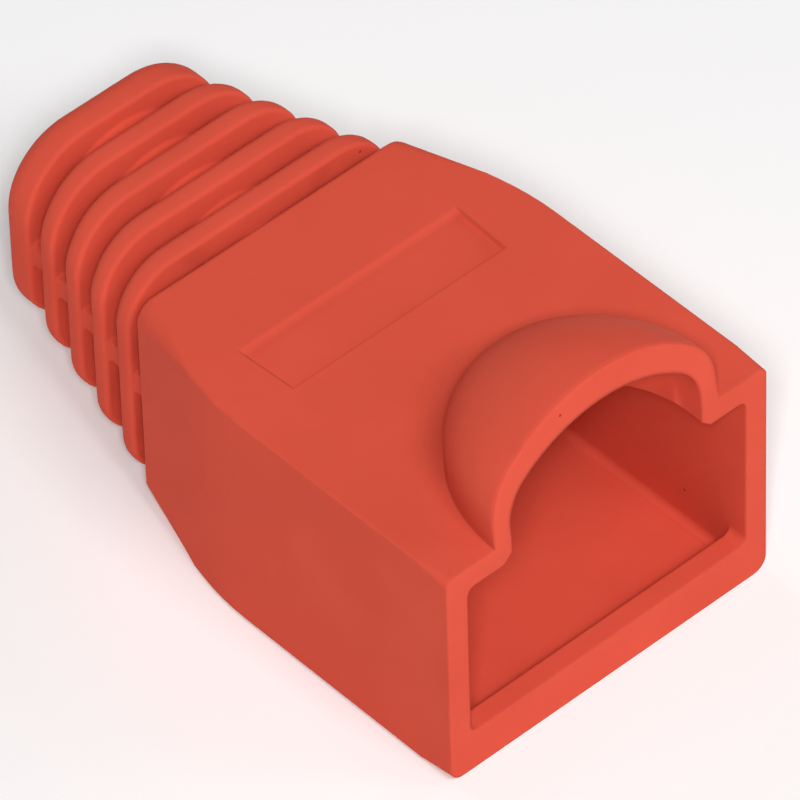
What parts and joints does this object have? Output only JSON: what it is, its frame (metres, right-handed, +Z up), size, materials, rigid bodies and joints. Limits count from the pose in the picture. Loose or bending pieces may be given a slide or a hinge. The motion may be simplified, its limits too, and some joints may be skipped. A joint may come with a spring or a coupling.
{
  "type": "strain relief boot",
  "caption": "Soft slip-on boot for a modular plug: open housing with a rounded latch hood, narrowing to a ribbed neck that holds the cable.",
  "frame": {"origin": "centre of the base, under the middle of the overall box", "axes": "+Y along the cable from the plug mouth to the end of the ribbed neck, +Z up towards the latch hood, +X across"},
  "size_m": [0.014, 0.0248, 0.0137],
  "materials": {
    "soft_pvc": "satin"
  },
  "bodies": {
    "root": {"boot": "soft_pvc"}
  },
  "joints": []
}
